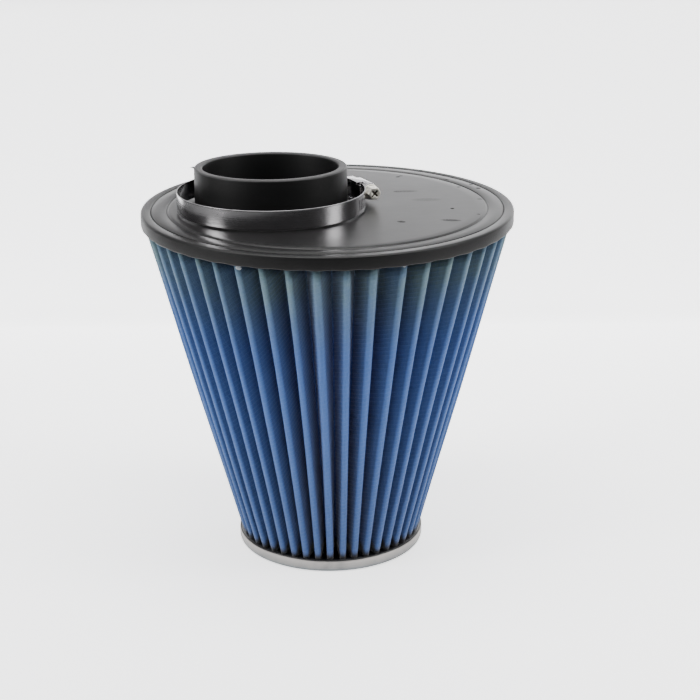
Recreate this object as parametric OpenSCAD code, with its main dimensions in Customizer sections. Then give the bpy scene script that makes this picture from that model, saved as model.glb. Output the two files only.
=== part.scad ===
// Cone air filter with an offset inlet tube and a loosened worm-drive clamp.
// The origin is at the middle of the end cap's underside, +Z up the axis of the cone.
// The inlet tube opens upwards on the wide end.

/* [Top cap] */
// Height of the top face's edge above the underside
filter_h = 237; // [180:1:300]
// Diameter of the moulded top cap
cap_d = 246; // [236:1:300]
// Thickness of the top cap
cap_h = 9; // [6:0.5:14]
// Radius of the cap's upper edge
cap_edge_r = 1.5; // [0.5:0.1:2.5]
// Chamfer of the cap's lower edge
cap_chamfer = 1; // [0.2:0.1:2]
// Distance of the outer groove from the cap's edge
outer_groove_in = 6.8; // [5:0.1:8]
// Distance of the inner groove from the cap's edge
inner_groove_in = 17.2; // [13:0.1:22]
// Width of the moulded grooves
groove_w = 1.6; // [0.8:0.1:2.4]
// Depth of the moulded grooves
groove_depth = 0.9; // [0.4:0.1:1.5]
// Height of the panel inside the inner groove above the border
panel_rise = 0.5; // [0.2:0.1:1]

/* [Inlet tube] */
// Inner diameter of the inlet tube
inlet_d = 88.9; // [70:0.1:95]
// Wall of the inlet tube
inlet_wall = 5.5; // [3:0.1:6]
// Height of the inlet tube above the panel
inlet_h = 28.5; // [22:0.5:45]
// Distance of the inlet tube from the axis of the cone
inlet_offset = 37.5; // [0:0.5:42]
// Bearing of the inlet tube from +X
inlet_bearing = 192; // [150:1:210]
// Lean of the soft inlet tube towards +Y
inlet_lean = 2; // [0:0.5:3]
// Rounding of the inlet tube's lip
lip_r = 1.4; // [0.4:0.1:1.4]
// Fillet at the inlet tube's foot
foot_r = 1.5; // [0.5:0.1:2.5]
// Bearing of the flap of moulding flash on the tube's lip
flash_bearing = 180; // [90:1:270]
// Length of the flash along the lip
flash_l = 5; // [2:0.5:8]
// Length of the flash at its tip
flash_tip = 2.6; // [1:0.1:4]
// Reach of the flash out from the tube
flash_reach = 2.6; // [0.5:0.1:4]
// Thickness of the flash
flash_t = 0.9; // [0.4:0.1:1.2]

/* [Pleated pack] */
// Number of pleats
pleats = 45; // [36:1:48]
// Bearing of the first pleat's ridge from +X
pleat_bearing = -3; // [-5:0.5:5]
// Thickness of the gauze and mesh sheet
media_t = 1.8; // [1.2:0.1:2]
// Radius of the sheet's mid-line round a fold
fold_r = 1.4; // [1.1:0.1:1.6]
// Width of the flat flank between two folds
pleat_w = 16.5; // [14:0.5:20]
// Distance of the ridges from the cap's edge at the wide end
pack_in = 2.5; // [1:0.1:4]
// Distance of the ridges from the end cap's edge at the narrow end
pack_end_in = 1.9; // [1.4:0.1:3]

/* [End cap] */
// Diameter of the drawn metal end cap
end_d = 127.7; // [110:0.1:140]
// Height of the end cap's wall
end_h = 8; // [6:0.5:12]
// Sheet thickness of the end cap
end_t = 0.8; // [0.5:0.1:1.2]
// Outer radius of the end cap's drawn corner
end_corner_r = 3; // [1.5:0.1:4]
// Height of the potting above the end cap's wall
potting_rise = 0.5; // [0.2:0.1:2]

/* [Hose clamp] */
// Width across the loosened band along X
clamp_x = 123.8; // [119:0.2:132]
// Width across the loosened band along Y
clamp_y = 115; // [112:0.2:122]
// Distance of the band's centre from the inlet tube's foot along Y
clamp_shift = -3.4; // [-3.6:0.1:-1]
// Width of the band
band_w = 12.7; // [10:0.1:14]
// Thickness of the band
band_t = 0.65; // [0.5:0.05:0.9]
// Gap between the two layers where the band overlaps
band_gap = 0.15; // [0.1:0.05:0.3]
// Length of the free end past the housing, as an angle
tail_angle = 30; // [20:1:60]
// Bearing of the screw housing on the band
housing_bearing = 24; // [10:1:60]
// Length of the screw housing
housing_l = 17; // [14:0.5:18]
// Length of the saddle past each end of the housing
saddle_reach = 3; // [1:0.5:4]
// Sheet thickness of the housing and the saddle
housing_t = 0.8; // [0.6:0.1:1]
// Radius of the worm over its thread
worm_r = 4.6; // [4:0.1:5]
// Depth of the worm's thread
thread_depth = 0.9; // [0.4:0.1:1.2]
// Radius of the screw's neck
neck_r = 2.4; // [1.8:0.1:3]
// Width across the flats of the screw's head
hex_w = 7.9; // [7:0.1:9]
// Length of the screw's head
hex_l = 5.6; // [4:0.1:7]
// Thickness of the collar under the head
collar_t = 1.3; // [0.8:0.1:2]
// Reach of the collar past the head's corners
collar_reach = 0.6; // [0.2:0.1:1]
// Width of the cross recess in the head
recess_w = 1.3; // [0.8:0.1:1.6]
// Length of the cross recess in the head
recess_l = 5.6; // [4:0.1:6.4]
// Depth of the cross recess in the head
recess_depth = 2; // [0.5:0.1:3]
// Width of one slot in the band
slot_w = 1.2; // [0.8:0.1:1.4]
// Length of one slot in the band
slot_l = 7.6; // [5:0.1:8]
// Land between two slots along the band
slot_land = 2; // [1.6:0.1:3]
// Slope of the slots
slot_slope = 8; // [2:1:12]
// Angle along the strip at which the slots start
slot_from = 325; // [300:1:345]

/* [Fits] */
// Running clearance of the screw in its housing
screw_gap = 0.25; // [0.15:0.05:0.4]
// Clearance of the clamp's loose pieces
loose_gap = 0.15; // [0.1:0.05:0.3]

/* [Hidden] */
$fn = 96;
eps = 0.01;

black_moulding = [0.13, 0.13, 0.14];
blue_gauze = [0.22, 0.38, 0.62];
black_potting = [0.05, 0.05, 0.06];
satin_metal = [0.72, 0.71, 0.69];
band_steel = [0.62, 0.62, 0.64];
bright_zinc = [0.80, 0.79, 0.72];

cap_r = cap_d / 2;
cap_under = filter_h - cap_h;
panel_z = filter_h + panel_rise;
outer_groove_r = cap_r - outer_groove_in;
inner_groove_r = cap_r - inner_groove_in;

inlet_r = inlet_d / 2;
tube_r = inlet_r + inlet_wall;
inlet_pos = [inlet_offset * cos(inlet_bearing), inlet_offset * sin(inlet_bearing)];

end_r = end_d / 2;
potting_z = end_h + potting_rise;
pack_top_r = cap_r - pack_in;
pack_end_r = end_r - pack_end_in;

// Facets along half a fold, at the ridge and at the valley, and along a rounded edge
ridge_steps = 3;
valley_steps = 2;
edge_steps = 5;

band_rise = housing_t + 2 * loose_gap;
band_z = panel_z + band_rise;
band_step = band_t + band_gap;
band_steps = 150;
strip_margin = 1;
slot_margin = 3;
band_rx = clamp_x / 2 - band_t;
band_ry = clamp_y / 2 - band_t;
band_pos = [inlet_pos[0], inlet_pos[1] + clamp_shift];
fixed_angle = asin((housing_l / 2 + housing_t) / band_rx);
band_start = housing_bearing - fixed_angle - strip_margin;
band_turn = 360 + fixed_angle + tail_angle;
slot_pitch = slot_w + slot_land;
slot_angle = slot_pitch / band_rx * 180 / PI;
slot_to = band_turn - slot_margin;

// Rise of the band's tightest curve over the saddle, and the room for both layers inside the screw
saddle_l = housing_l + 2 * saddle_reach;
tight_r = pow(min(band_rx, band_ry), 2) / max(band_rx, band_ry);
band_bow = saddle_l * saddle_l / 8 / tight_r;
saddle_in = 2 * band_t + band_gap + 2 * loose_gap + band_bow;
housing_in = saddle_in + housing_t + loose_gap;

hex_r = hex_w / 2 / cos(30);
worm_x = worm_r + loose_gap + band_gap;
front_wall_y = -housing_l / 2;
worm_l = housing_l - 2 * screw_gap;
collar_y = front_wall_y - housing_t - screw_gap - collar_t;
head_y = collar_y - hex_l;

// Facets round the worm and along one pitch of its thread
worm_facets = 24;
thread_steps = 8;

// Points of an arc about (cx, cy) from angle a0 to a1
function arc(cx, cy, r, a0, a1, n) =
    [for (i = [0 : n]) let (a = a0 + (a1 - a0) * i / n) [cx + r * cos(a), cy + r * sin(a)]];

// Top cap: a revolved disc with two grooves, the leaning tube and its bore

module cap_disc() {
    g = groove_w / 2;
    rotate([0, 0, inlet_bearing])
        rotate_extrude()
            polygon(concat(
                [[0, cap_under], [cap_r - cap_chamfer, cap_under], [cap_r, cap_under + cap_chamfer]],
                arc(cap_r - cap_edge_r, filter_h - cap_edge_r, cap_edge_r, 0, 90, edge_steps),
                [[outer_groove_r + g, filter_h], [outer_groove_r, filter_h - groove_depth],
                 [outer_groove_r - g, filter_h],
                 [inner_groove_r + g, filter_h], [inner_groove_r, filter_h - groove_depth],
                 [inner_groove_r - g, panel_z], [0, panel_z]]));
}

// Axis of the inlet tube, with its foot on the panel and X pointing away from the cone's axis
module at_inlet() {
    translate([inlet_pos[0], inlet_pos[1], panel_z])
        rotate([-inlet_lean, 0, 0])
            rotate([0, 0, inlet_bearing])
                children();
}

module inlet_tube() {
    sink = cap_h / 2;
    rotate_extrude()
        polygon(concat(
            [[inlet_r - eps, -sink], [tube_r, -sink], [tube_r + foot_r, -sink],
             [tube_r + foot_r, 0]],
            arc(tube_r + foot_r, foot_r, foot_r, 270, 180, edge_steps),
            arc(tube_r - lip_r, inlet_h - lip_r, lip_r, 0, 90, edge_steps),
            arc(inlet_r + lip_r, inlet_h - lip_r, lip_r, 90, 180, edge_steps)));
}

// Thin flap of moulding flash left at the tube's lip
module lip_flash() {
    root_r = tube_r - inlet_wall / 4;
    rotate([0, 0, flash_bearing - inlet_bearing])
        translate([0, 0, inlet_h - lip_r - flash_t / 2])
            linear_extrude(flash_t)
                polygon([[root_r, -flash_l / 2], [tube_r + flash_reach, -flash_tip / 2],
                         [tube_r + flash_reach, flash_tip / 2], [root_r, flash_l / 2]]);
}

module top_cap() {
    color(black_moulding)
        difference() {
            union() {
                cap_disc();
                at_inlet() {
                    inlet_tube();
                    lip_flash();
                }
            }
            at_inlet()
                translate([0, 0, -3 * cap_h])
                    cylinder(r = inlet_r, h = 3 * cap_h + inlet_h - lip_r);
        }
}

// Pleated pack: half a pleat runs from the ridge's crown to the valley's floor.
// The flank is the line that touches the ridge circle and the valley circle crosswise.

function pleat_half() = 180 / pleats;

// Radius of the valley circle's centre, which keeps the flank's width the same at both ends
function valley_centre(rc) =
    let (h = pleat_half(), d2 = pleat_w * pleat_w + 4 * fold_r * fold_r)
    rc * cos(h) - sqrt(d2 - pow(rc * sin(h), 2));

// One half pleat in the plane, with the sheet's face at distance side from its mid-line
function half_pleat(ridge_r, side) =
    let (h = pleat_half(),
         rc = ridge_r - fold_r - media_t / 2,
         vc = valley_centre(rc),
         c = [rc, 0],
         v = [vc * cos(h), vc * sin(h)],
         d = norm(v - c),
         bearing = atan2(v[1] - c[1], v[0] - c[0]),
         turn = acos(2 * fold_r / d),
         touch = bearing - turn)
    concat(arc(c[0], c[1], fold_r + side, 0, touch, ridge_steps),
           arc(v[0], v[1], fold_r - side, touch + 180, 180 + h, valley_steps));

function turned(p, a) = [p[0] * cos(a) - p[1] * sin(a), p[0] * sin(a) + p[1] * cos(a)];

// Closed outline of the whole pack's face at one height
function pack_outline(ridge_r, side) =
    let (half = half_pleat(ridge_r, side), n = len(half))
    [for (i = [0 : pleats - 1], k = [-(n - 1) : n - 2])
        let (p = half[abs(k)], q = k < 0 ? [p[0], -p[1]] : p)
        turned(q, pleat_bearing + i * 360 / pleats)];

function lifted(points, z) = [for (p = points) [p[0], p[1], z]];

module media_pack() {
    low = potting_z;
    high = cap_under;
    outer_low = pack_outline(pack_end_r, media_t / 2);
    inner_low = pack_outline(pack_end_r, -media_t / 2);
    outer_high = pack_outline(pack_top_r, media_t / 2);
    inner_high = pack_outline(pack_top_r, -media_t / 2);
    n = len(outer_low);
    ol = 0;
    il = n;
    oh = 2 * n;
    ih = 3 * n;
    faces = [for (i = [0 : n - 1])
        let (j = (i + 1) % n)
        each [[ol + i, oh + i, oh + j], [ol + i, oh + j, ol + j],
              [il + i, il + j, ih + j], [il + i, ih + j, ih + i],
              [oh + i, ih + i, ih + j], [oh + i, ih + j, oh + j],
              [ol + i, ol + j, il + j], [ol + i, il + j, il + i]]];
    color(blue_gauze)
        polyhedron(points = concat(lifted(outer_low, low), lifted(inner_low, low),
                                   lifted(outer_high, high), lifted(inner_high, high)),
                   faces = faces);
}

// End cap: a drawn metal cup, and the black potting that fills it

module end_cap() {
    inner_corner = end_corner_r - end_t;
    color(satin_metal)
        rotate_extrude()
            polygon(concat(
                [[0, 0]],
                arc(end_r - end_corner_r, end_corner_r, end_corner_r, 270, 360, 6),
                [[end_r, end_h], [end_r - end_t, end_h]],
                arc(end_r - end_corner_r, end_corner_r, inner_corner, 360, 270, 6),
                [[0, end_t]]));
}

module end_potting() {
    inner_corner = end_corner_r - end_t;
    color(black_potting)
        rotate_extrude()
            polygon(concat(
                [[0, end_t]],
                arc(end_r - end_corner_r, end_corner_r, inner_corner, 270, 360, 6),
                [[end_r - end_t, end_h], [end_r - end_t - potting_rise, potting_z],
                 [0, potting_z]]));
}

// Hose clamp: the strip winds once round and overlaps itself under the screw

function strip_point(a, off) =
    let (grow = band_step * (a - band_start) / 360 - band_step, k = off + grow)
    [(band_rx + k) * cos(a), (band_ry + k) * sin(a)];

module at_band() {
    translate([band_pos[0], band_pos[1], band_z])
        children();
}

// Frame on the strip's outer face at the housing: X outwards, Y along the strip
module at_housing() {
    a = housing_bearing;
    p = strip_point(a + 360, band_t);
    at_band()
        translate([p[0], p[1], band_w / 2])
            rotate([0, 0, atan2(band_rx * sin(a), band_ry * cos(a))])
                children();
}

module slot_row() {
    for (a = [slot_from : slot_angle : slot_to]) {
        p = strip_point(a + band_start, band_t / 2);
        translate([p[0], p[1], band_w / 2])
            rotate([slot_slope, 0, atan2(band_rx * sin(a + band_start), band_ry * cos(a + band_start))])
                cube([band_t + band_gap, slot_w, slot_l], center = true);
    }
}

module clamp_band() {
    outer = [for (i = [0 : band_steps]) strip_point(band_start + band_turn * i / band_steps, band_t)];
    inner = [for (i = [band_steps : -1 : 0]) strip_point(band_start + band_turn * i / band_steps, 0)];
    color(band_steel)
        at_band()
            difference() {
                linear_extrude(band_w)
                    polygon(concat(outer, inner));
                slot_row();
            }
}

module clamp_saddle() {
    saddle_w = band_w - 2 * housing_t;
    color(band_steel)
        at_housing()
            translate([-saddle_in - housing_t, -saddle_l / 2, -saddle_w / 2])
                cube([housing_t, saddle_l, saddle_w]);
}

module clamp_housing() {
    leg_z = band_w / 2 + loose_gap;
    shell_r = worm_r + screw_gap;
    lip_w = housing_t + 2 * loose_gap;
    color(band_steel)
        at_housing()
            difference() {
                union() {
                    translate([worm_x, housing_l / 2 + housing_t, 0])
                        rotate([90, 0, 0])
                            cylinder(r = shell_r + housing_t, h = housing_l + 2 * housing_t);
                    translate([-housing_in - housing_t, -housing_l / 2, -leg_z - housing_t])
                        cube([housing_in + 2 * housing_t + loose_gap, housing_l, 2 * (leg_z + housing_t)]);
                }
                translate([worm_x, housing_l / 2, 0])
                    rotate([90, 0, 0])
                        cylinder(r = shell_r, h = housing_l);
                translate([worm_x, 0, 0])
                    rotate([90, 0, 0])
                        cylinder(r = neck_r + screw_gap, h = housing_l);
                translate([-housing_in, -housing_l, -leg_z])
                    cube([housing_in + loose_gap, 2 * housing_l, 2 * leg_z]);
                translate([-housing_in - 2 * housing_t, -housing_l, -leg_z + lip_w])
                    cube([2 * housing_t + eps, 2 * housing_l, 2 * (leg_z - lip_w)]);
            }
}

// Worm: its radius rises and falls once in every pitch, and the wave moves on once in every turn
module worm() {
    rows = ceil(worm_l / slot_pitch * thread_steps);
    n = worm_facets;
    points = [for (j = [0 : rows], i = [0 : n - 1])
        let (z = worm_l * j / rows, a = 360 * i / n,
             r = worm_r - thread_depth * (1 - cos(360 * z / slot_pitch - a)) / 2)
        [r * cos(a), r * sin(a), z]];
    walls = [for (j = [0 : rows - 1], i = [0 : n - 1])
        let (p = j * n + i, q = j * n + (i + 1) % n)
        each [[p, p + n, q + n], [p, q + n, q]]];
    foot = [for (i = [1 : n - 2]) [0, i, i + 1]];
    top = [for (i = [1 : n - 2]) [rows * n, rows * n + i + 1, rows * n + i]];
    polyhedron(points = points, faces = concat(walls, foot, top));
}

module clamp_screw() {
    color(bright_zinc)
        at_housing()
            translate([worm_x, 0, 0])
                rotate([90, 0, 0])
                    difference() {
                        union() {
                            translate([0, 0, -worm_l / 2])
                                worm();
                            cylinder(r = neck_r, h = -collar_y);
                            translate([0, 0, -collar_y - collar_t])
                                cylinder(r = hex_r + collar_reach, h = collar_t);
                            translate([0, 0, -collar_y])
                                cylinder(r = hex_r, h = hex_l, $fn = 6);
                        }
                        for (turn = [0, 90])
                            rotate([0, 0, turn + 45])
                                translate([-recess_l / 2, -recess_w / 2, -head_y - recess_depth])
                                    cube([recess_l, recess_w, 2 * recess_depth]);
                    }
}

top_cap();
media_pack();
end_potting();
end_cap();
clamp_band();
clamp_saddle();
clamp_housing();
clamp_screw();
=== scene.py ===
"""Looks of the cone air filter: surfaces, finishes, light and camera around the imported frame."""
import logging
import math
from dataclasses import dataclass, field
from enum import Enum
from typing import Any

import bpy
import numpy as np
from mathutils import Euler, Matrix, Vector


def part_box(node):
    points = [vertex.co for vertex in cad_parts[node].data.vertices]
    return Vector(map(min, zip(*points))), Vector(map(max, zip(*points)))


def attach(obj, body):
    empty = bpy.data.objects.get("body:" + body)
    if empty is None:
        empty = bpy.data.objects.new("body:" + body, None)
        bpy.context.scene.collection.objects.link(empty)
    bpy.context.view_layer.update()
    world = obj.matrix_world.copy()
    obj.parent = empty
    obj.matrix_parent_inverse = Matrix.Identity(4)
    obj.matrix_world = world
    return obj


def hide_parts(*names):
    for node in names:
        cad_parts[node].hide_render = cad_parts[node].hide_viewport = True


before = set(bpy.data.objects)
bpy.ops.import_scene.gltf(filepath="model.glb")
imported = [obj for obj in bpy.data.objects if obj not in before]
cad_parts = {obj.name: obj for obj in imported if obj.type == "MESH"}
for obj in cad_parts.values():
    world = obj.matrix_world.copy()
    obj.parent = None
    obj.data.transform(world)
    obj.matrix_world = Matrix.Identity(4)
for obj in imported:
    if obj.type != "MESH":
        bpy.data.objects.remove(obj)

LOG = logging.getLogger("cone_filter")
# One millimetre, in metres.
MM = 0.001
# Radius of the pinhole that stands for a pole on an axis, in millimetres.
POLE = 0.001
FILTER = "filter"
SCREW = "screw"
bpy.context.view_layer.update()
Colour = tuple[float, float, float]
Place = tuple[float, float, float]
Span = tuple[float, float]


def toned(colour: Colour, by: float) -> Colour:
    """A colour with its three parts multiplied by one number."""
    return tuple(by * part for part in colour)


def heading(degrees: float) -> Span:
    """Cosine and sine of an angle in degrees."""
    return math.cos(math.radians(degrees)), math.sin(math.radians(degrees))


class Slot(Enum):
    """The record's material slots."""

    MOULDING = "black_moulding"
    GAUZE = "blue_gauze"
    POTTING = "black_potting"
    METAL = "satin_metal"
    STEEL = "band_steel"
    ZINC = "bright_zinc"


class Closing(Enum):
    """How a grid of points closes on itself."""

    OPEN = "open"
    AROUND = "around"
    TORUS = "torus"


@dataclass(frozen=True)
class Axis:
    """An upright or leaning axis that rings are drawn about, in millimetres and degrees."""

    x: float = 0.0
    y: float = 0.0
    z: float = 0.0
    lean: float = 0.0

    def place(self, points: np.ndarray) -> np.ndarray:
        """Turns points from the axis's own frame into the part's frame.

        Args:
            points: Array of shape (..., 3) in millimetres.

        Returns:
            The points turned about X by minus the lean, then moved to the axis's foot.
        """
        c, s = heading(self.lean)
        x, y, z = points[..., 0], points[..., 1], points[..., 2]
        return np.stack([x + self.x, y * c + z * s + self.y, z * c - y * s + self.z], -1)


class Sheet:
    """Turns grids of points into Blender meshes."""

    @staticmethod
    def quads(rows: int, cols: int, closing: Closing, flip: bool = False) -> np.ndarray:
        """Lists the four corners of each cell of a grid.

        Args:
            rows: Number of rows of points.
            cols: Number of points in a row.
            closing: Whether the last column and the last row join the first.
            flip: Whether the faces look the other way.

        Returns:
            Integer array of shape (cells, 4).
        """
        r = np.arange(rows if closing is Closing.TORUS else rows - 1)
        c = np.arange(cols - 1 if closing is Closing.OPEN else cols)
        i, j = np.meshgrid(r, c, indexing="ij")
        i2, j2 = (i + 1) % rows, (j + 1) % cols
        corners = [i * cols + j, i * cols + j2, i2 * cols + j2, i2 * cols + j]
        cells = np.stack(corners, -1).reshape(-1, 4)
        return cells[:, ::-1] if flip else cells

    @staticmethod
    def build(name: str, points: np.ndarray, faces: np.ndarray, uv: np.ndarray | None = None,
              marks: dict[str, np.ndarray] | None = None) -> bpy.types.Object:
        """Makes a mesh object at the origin from points in millimetres.

        Args:
            name: Name of the piece.
            points: Array (n, 3) in millimetres.
            faces: Array (m, 4) of corners.
            uv: Array (n, 2), a place on the surface for each point.
            marks: Values kept on the points, by attribute name.

        Returns:
            The new object, linked to the scene.
        """
        pts = np.asarray(points, float).reshape(-1, 3) * MM
        faces = np.asarray(faces, np.int32)
        mesh = bpy.data.meshes.new(name)
        mesh.vertices.add(len(pts))
        mesh.vertices.foreach_set("co", pts.astype(np.float32).ravel())
        mesh.loops.add(faces.size)
        mesh.loops.foreach_set("vertex_index", faces.ravel())
        mesh.polygons.add(len(faces))
        starts = np.arange(len(faces), dtype=np.int32) * faces.shape[1]
        mesh.polygons.foreach_set("loop_start", starts)
        mesh.polygons.foreach_set("use_smooth", np.ones(len(faces), bool))
        if uv is not None:
            layer = mesh.uv_layers.new(name="UVMap")
            layer.data.foreach_set("uv", np.asarray(uv, np.float32)[faces.ravel()].ravel())
        mesh.update(calc_edges=True)
        for key, values in (marks or {}).items():
            attribute = mesh.attributes.new(key, "FLOAT", "POINT")
            attribute.data.foreach_set("value", np.asarray(values, np.float32).ravel())
        piece = bpy.data.objects.new(name, mesh)
        bpy.context.scene.collection.objects.link(piece)
        return piece

    @staticmethod
    def arc(cx: float, cy: float, r: float, a0: float, a1: float, n: int) -> np.ndarray:
        """Points of an arc about (cx, cy), evenly spaced in angle from a0 to a1 degrees."""
        a = np.radians(np.linspace(a0, a1, n + 1))
        return np.stack([cx + r * np.cos(a), cy + r * np.sin(a)], -1)

    @staticmethod
    def rings(axis: Axis, profile: np.ndarray, cols: int) -> np.ndarray:
        """Revolves a profile about an axis.

        Each profile point (r, z) becomes the ring (r cos t, r sin t, z), with t going once round.

        Args:
            axis: The axis of the rings.
            profile: Array (rows, 2) of radius and height in millimetres.
            cols: Points in a ring.

        Returns:
            Array (rows, cols, 3).
        """
        t = np.linspace(0, 2 * math.pi, cols, endpoint=False)
        r, z = profile[:, :1], profile[:, 1:]
        grid = np.stack([r * np.cos(t), r * np.sin(t), z + 0 * t], -1)
        return axis.place(grid)


class Shade:
    """A shader socket that can be used in sums and products; each sign adds a Math node."""

    def __init__(self, nodes: "NodeKit", socket: bpy.types.NodeSocket) -> None:
        """Keeps the socket and the tree it is in."""
        self.nodes = nodes
        self.socket = socket

    def _math(self, operation: str, *terms: Any) -> "Shade":
        """Adds one Math node with the given terms."""
        return self.nodes.add("ShaderNodeMath", {"operation": operation}, dict(enumerate(terms)))

    def __add__(self, other: Any) -> "Shade":
        """Sum."""
        return self._math("ADD", self, other)

    def __radd__(self, other: Any) -> "Shade":
        """Sum with a number on the left."""
        return self._math("ADD", other, self)

    def __sub__(self, other: Any) -> "Shade":
        """Difference."""
        return self._math("SUBTRACT", self, other)

    def __rsub__(self, other: Any) -> "Shade":
        """Difference from a number on the left."""
        return self._math("SUBTRACT", other, self)

    def __mul__(self, other: Any) -> "Shade":
        """Product."""
        return self._math("MULTIPLY", self, other)

    def __rmul__(self, other: Any) -> "Shade":
        """Product with a number on the left."""
        return self._math("MULTIPLY", other, self)

    def __truediv__(self, other: Any) -> "Shade":
        """Quotient."""
        return self._math("DIVIDE", self, other)

    def __pow__(self, other: Any) -> "Shade":
        """Power."""
        return self._math("POWER", self, other)

    def __neg__(self) -> "Shade":
        """The value with the other sign."""
        return self._math("MULTIPLY", -1.0, self)

    def sine(self) -> "Shade":
        """Sine of the value, in radians."""
        return self._math("SINE", self)

    def larger(self, other: Any) -> "Shade":
        """The larger of two values."""
        return self._math("MAXIMUM", self, other)

    def angle(self, other: "Shade") -> "Shade":
        """Bearing whose rise is this value and whose run is the other."""
        return self._math("ARCTAN2", self, other)

    def rise(self, low: float, high: float) -> "Shade":
        """Goes smoothly from 0 to 1 as the value goes from low to high."""
        return self.nodes.add("ShaderNodeMapRange", {"interpolation_type": "SMOOTHSTEP"},
                              {0: self, 1: low, 2: high, 3: 0.0, 4: 1.0})

    def passes(self, level: float, band: Span) -> "Shade":
        """Goes smoothly from 0 to 1 over a band beside a level, both in millimetres."""
        return self.rise((level + band[0]) * MM, (level + band[1]) * MM)


class NodeKit:
    """Adds nodes to one material."""

    def __init__(self, material: bpy.types.Material) -> None:
        """Empties the material's tree.

        Args:
            material: The material that is filled.
        """
        material.use_nodes = True
        self.tree = material.node_tree
        self.tree.nodes.clear()

    def node(self, kind: str, settings: dict[str, Any] | None = None,
             inputs: dict[Any, Any] | None = None) -> bpy.types.Node:
        """Makes a node of any type.

        Args:
            kind: The node's type name.
            settings: Properties of the node, such as a Math node's operation, set first.
            inputs: Values, colours or Shades by the socket's name or number.

        Returns:
            The node.
        """
        node = self.tree.nodes.new(kind)
        for key, value in (settings or {}).items():
            setattr(node, key, value)
        for key, value in (inputs or {}).items():
            socket = node.inputs[key]
            if isinstance(value, Shade):
                self.tree.links.new(value.socket, socket)
            else:
                socket.default_value = (*value, 1.0) if socket.type == "RGBA" else value
        return node

    def add(self, kind: str, settings: dict[str, Any] | None = None,
            inputs: dict[Any, Any] | None = None, output: Any = 0) -> Shade:
        """Makes a node and gives back one of its outputs, by name or number."""
        return Shade(self, self.node(kind, settings, inputs).outputs[output])

    def place(self, kind: str = "Object") -> tuple[Shade, ...]:
        """The three parts of a texture coordinate, in metres.

        Args:
            kind: Name of the coordinate.

        Returns:
            One Shade for each part.
        """
        where = self.add("ShaderNodeTexCoord", output=kind)
        split = self.node("ShaderNodeSeparateXYZ", inputs={0: where})
        return tuple(Shade(self, part) for part in split.outputs)

    def mark(self, name: str) -> Shade:
        """A value that is kept on the piece's points."""
        return self.add("ShaderNodeAttribute", {"attribute_name": name}, output="Fac")

    def vector(self, x: Any, y: Any, z: Any) -> Shade:
        """Joins three values to a vector."""
        return self.add("ShaderNodeCombineXYZ", inputs={0: x, 1: y, 2: z})

    def noise(self, scale: float, detail: float = 3.0, rough: float = 0.5,
              where: Shade | None = None) -> Shade:
        """Cloudy noise between 0 and 1.

        Args:
            scale: Waves in a metre.
            detail: Octaves.
            rough: Share of the finer octaves.
            where: Coordinates, or None for the object's own.

        Returns:
            The noise value.
        """
        where = where or self.add("ShaderNodeTexCoord", output="Object")
        inputs = {"Vector": where, "Scale": scale, "Detail": detail, "Roughness": rough}
        return self.add("ShaderNodeTexNoise", inputs=inputs)

    def mix(self, factor: Any, first: Any, second: Any) -> Shade:
        """Mixes two colours, the second one by the share that the factor gives."""
        return self.add("ShaderNodeMix", {"data_type": "RGBA", "clamp_factor": True},
                        {0: factor, 6: first, 7: second}, output=2)

    def bump(self, height: Shade, distance: float) -> Shade:
        """Normal of a height that counts in steps of the distance, which is in millimetres."""
        inputs = {"Height": height, "Distance": distance * MM, "Strength": 1.0}
        return self.add("ShaderNodeBump", inputs=inputs)

    def surface(self, **inputs: Any) -> None:
        """Ends the tree in a Principled shader.

        Args:
            inputs: Socket values or Shades, with spaces of the socket names as underscores.
        """
        named = {key.replace("_", " "): value for key, value in inputs.items()}
        shader = self.add("ShaderNodeBsdfPrincipled", inputs=named)
        self.node("ShaderNodeOutputMaterial", inputs={"Surface": shader})


class Finish:
    """A finish that makes its material once."""

    name: str

    def fill(self, kit: NodeKit) -> None:
        """Adds the finish's nodes; each finish has its own."""
        raise NotImplementedError

    def material(self) -> bpy.types.Material:
        """Makes the finish's material at its first use.

        Returns:
            The material.
        """
        made = bpy.data.materials.get(self.name)
        if made is None:
            made = bpy.data.materials.new(self.name)
            self.fill(NodeKit(made))
        return made

    def dress(self, piece: bpy.types.Object) -> None:
        """Puts the material on all of a piece."""
        piece.data.materials.clear()
        piece.data.materials.append(self.material())


@dataclass(frozen=True)
class Speck:
    """A scuff, speck or streak on the cap's top face, in millimetres and degrees."""

    x: float
    y: float
    long: float
    wide: float
    turn: float
    depth: float


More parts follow.
